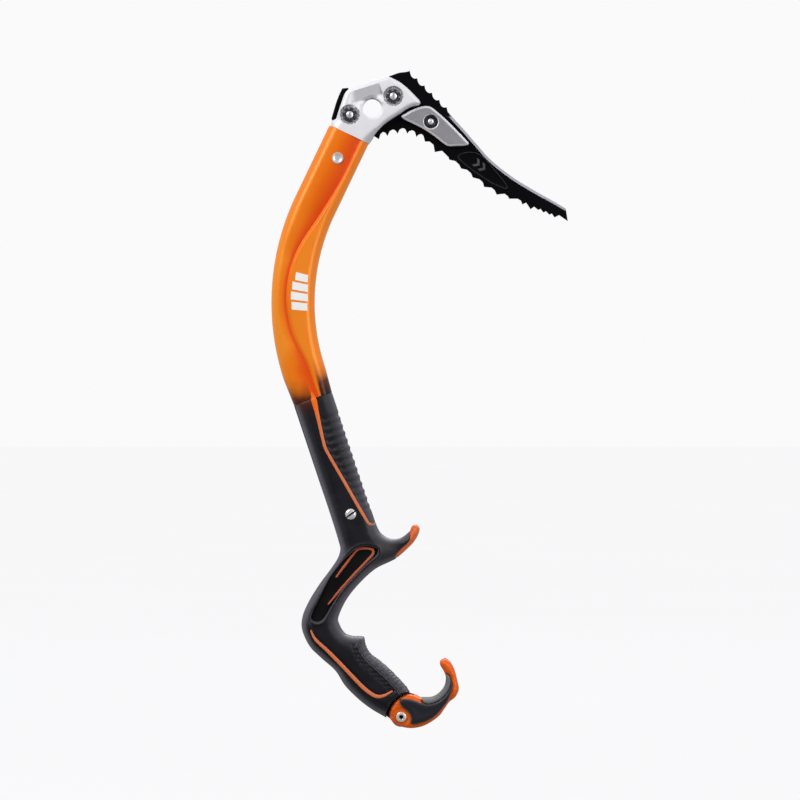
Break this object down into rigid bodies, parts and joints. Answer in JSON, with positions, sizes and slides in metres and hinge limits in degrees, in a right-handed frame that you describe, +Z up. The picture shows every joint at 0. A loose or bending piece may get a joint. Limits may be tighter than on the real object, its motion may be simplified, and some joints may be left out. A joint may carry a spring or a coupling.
{
  "type": "technical ice tool",
  "caption": "Short bent-shaft ice tool with a toothed steel pick, forged head with carabiner eye, moulded handle with finger rest and an adjustable grip rest.",
  "frame": {"origin": "centre of the carabiner eye in the head", "axes": "+X towards the pick, +Y across the tool to its left side, +Z up along the tool"},
  "size_m": [0.2251, 0.0278, 0.4986],
  "materials": {
    "forged_alloy": "fine satin, forged and tumbled",
    "pick_steel": "black oxide, ground bright at the bevels",
    "weight_steel": "satin grey with bright bevels",
    "bright_steel": "bright turned",
    "dark_steel": "dark zinc",
    "shaft_paint": "satin orange paint fading to black at the handle",
    "nylon_core": "moulded matte",
    "handle_shell": "fine moulded texture",
    "orange_plastic": "satin moulded",
    "grip_rubber": "ribbed and dimpled matte",
    "rest_alloy": "satin moulded",
    "liner_rubber": "matte",
    "white_bush": "clear anodised"
  },
  "bodies": {
    "tool": {"head": "forged_alloy", "pick": "pick_steel", "pick_bolt_rear": "bright_steel", "pick_nut_rear": "dark_steel", "pick_bolt_front": "bright_steel", "pick_nut_front": "dark_steel", "bolt_washers": "weight_steel", "weight_left": "weight_steel", "weight_right": "weight_steel", "weight_screw": "bright_steel", "weight_nut": "dark_steel", "shaft": "shaft_paint", "head_rivet": "bright_steel", "handle_core": "nylon_core", "handle_shell_left": "handle_shell", "handle_shell_right": "handle_shell", "finger_rest_tip": "orange_plastic", "upper_grip_pad": "grip_rubber", "lower_grip_pad": "grip_rubber", "upper_trim_left": "orange_plastic", "upper_trim_right": "orange_plastic", "loop_trim_left": "orange_plastic", "loop_trim_right": "orange_plastic", "lower_trim_left": "orange_plastic", "lower_trim_right": "orange_plastic", "handle_bolt": "bright_steel", "handle_nut": "bright_steel"},
    "grip_rest": {"grip_rest_frame": "rest_alloy", "grip_rest_pad_left": "handle_shell", "grip_rest_pad_right": "handle_shell", "grip_rest_liner": "liner_rubber", "grip_rest_bolt": "white_bush", "grip_rest_nut": "bright_steel", "friction_washers": "weight_steel"}
  },
  "joints": [
    {"name": "grip_rest_hinge", "type": "hinge", "parent": "tool", "child": "grip_rest", "pos_m": [0.022, 0, -0.4614], "axis": [0, 1, 0], "range_deg": [0, 20]}
  ]
}
